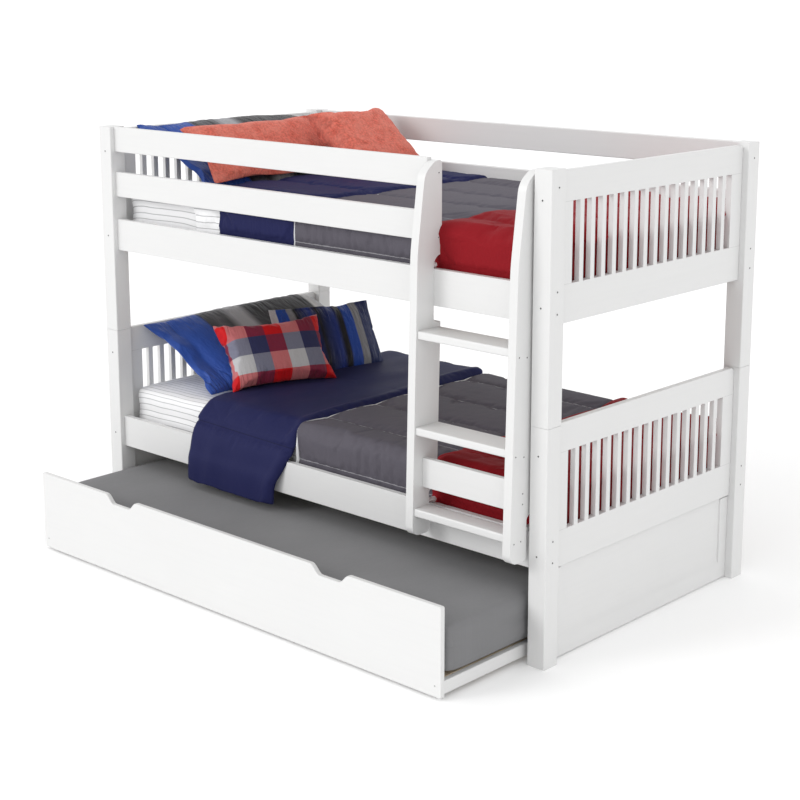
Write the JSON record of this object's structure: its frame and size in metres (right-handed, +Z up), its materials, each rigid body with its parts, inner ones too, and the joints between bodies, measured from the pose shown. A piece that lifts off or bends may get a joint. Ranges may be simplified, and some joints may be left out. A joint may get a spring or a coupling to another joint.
{
  "type": "bunk bed with trundle",
  "caption": "White painted twin bunk bed with a fixed front ladder, slatted ends, guard boards, a rolling trundle with a mattress, and made-up bedding.",
  "frame": {"origin": "floor level, in the middle of the bounding box with the trundle pulled out 362 mm as stored", "axes": "+X along the bed from the pillow end to the foot end, -Y to the front, where the ladder is and the trundle comes out, +Z up"},
  "size_m": [2.035, 1.449, 1.4941],
  "materials": {
    "white_paint": "satin white paint",
    "bare_wood": "bare sanded pine",
    "caster_steel": "zinc plated",
    "caster_wheel": "matte",
    "fitted_sheet": "woven cotton with thin grey stripes",
    "grey_ticking": "matte knit",
    "comforter_grey": "charcoal brushed quilt with a red foot end",
    "comforter_navy": "navy satin",
    "coral_plush": "coral short-pile plush",
    "sham_stripe": "satin stripes in blue, silver and charcoal",
    "pillow_stripe": "stripes in blue and grey",
    "plaid": "woven plaid in red, navy and grey"
  },
  "bodies": {
    "bed_frame": {"lower_post_front_left": "white_paint", "lower_post_rear_left": "white_paint", "lower_post_front_right": "white_paint", "lower_post_rear_right": "white_paint", "upper_post_front_left": "white_paint", "upper_post_rear_left": "white_paint", "upper_post_front_right": "white_paint", "upper_post_rear_right": "white_paint", "lower_end_panel_left": "white_paint", "lower_end_panel_right": "white_paint", "upper_end_panel_left": "white_paint", "upper_end_panel_right": "white_paint", "skirt_panel_left": "white_paint", "skirt_panel_right": "white_paint", "lower_side_rail_front": "white_paint", "lower_side_rail_rear": "white_paint", "upper_side_rail_front": "white_paint", "upper_side_rail_rear": "white_paint", "guard_top_front": "white_paint", "guard_top_rear": "white_paint", "guard_low_front": "white_paint", "guard_low_rear": "white_paint", "ladder_stringer_left": "white_paint", "ladder_stringer_right": "white_paint", "ladder_tread_1": "white_paint", "ladder_tread_2": "white_paint", "ladder_tread_3": "white_paint", "ladder_cross_board": "white_paint", "post_dowel_front_left": "bare_wood", "post_dowel_rear_left": "bare_wood", "post_dowel_front_right": "bare_wood", "post_dowel_rear_right": "bare_wood", "lower_slat_deck": "bare_wood", "upper_slat_deck": "bare_wood", "lower_mattress": "fitted_sheet", "upper_mattress": "fitted_sheet", "lower_comforter": "comforter_grey", "lower_comforter_fold": "comforter_navy", "upper_comforter": "comforter_grey", "lower_sham": "sham_stripe", "plaid_pillow": "plaid", "striped_pillow": "pillow_stripe", "upper_sham": "sham_stripe", "coral_pillow_left": "coral_plush", "coral_pillow_right": "coral_plush"},
    "trundle": {"trundle_front": "white_paint", "trundle_side_rail_left": "white_paint", "trundle_side_rail_right": "white_paint", "trundle_rear_rail": "white_paint", "trundle_slat_deck": "bare_wood", "trundle_mattress": "grey_ticking", "caster_bracket_front_left": "caster_steel", "caster_bracket_rear_left": "caster_steel", "caster_bracket_front_right": "caster_steel", "caster_bracket_rear_right": "caster_steel"},
    "caster_wheel_front_left": {"caster_wheel_front_left": "caster_wheel"},
    "caster_wheel_rear_left": {"caster_wheel_rear_left": "caster_wheel"},
    "caster_wheel_front_right": {"caster_wheel_front_right": "caster_wheel"},
    "caster_wheel_rear_right": {"caster_wheel_rear_right": "caster_wheel"}
  },
  "joints": [
    {"name": "trundle_slide", "type": "slide", "parent": "bed_frame", "child": "trundle", "axis": [0, -1, 0], "range_m": [-0.362, 0.6], "deforming": ["lower_comforter_fold"]},
    {"name": "caster_wheel_front_left_spin", "type": "hinge", "parent": "trundle", "child": "caster_wheel_front_left", "pos_m": [-0.8632, -0.6495, 0.019], "axis": [1, 0, 0], "continuous": true},
    {"name": "caster_wheel_rear_left_spin", "type": "hinge", "parent": "trundle", "child": "caster_wheel_rear_left", "pos_m": [-0.8632, 0.1625, 0.019], "axis": [1, 0, 0], "continuous": true},
    {"name": "caster_wheel_front_right_spin", "type": "hinge", "parent": "trundle", "child": "caster_wheel_front_right", "pos_m": [0.8632, -0.6495, 0.019], "axis": [1, 0, 0], "continuous": true},
    {"name": "caster_wheel_rear_right_spin", "type": "hinge", "parent": "trundle", "child": "caster_wheel_rear_right", "pos_m": [0.8632, 0.1625, 0.019], "axis": [1, 0, 0], "continuous": true}
  ],
  "couplings": [
    {"joint": "caster_wheel_front_left_spin", "follows": "trundle_slide", "rad_per_m": 52.632},
    {"joint": "caster_wheel_rear_left_spin", "follows": "trundle_slide", "rad_per_m": 52.632},
    {"joint": "caster_wheel_front_right_spin", "follows": "trundle_slide", "rad_per_m": 52.632},
    {"joint": "caster_wheel_rear_right_spin", "follows": "trundle_slide", "rad_per_m": 52.632}
  ]
}
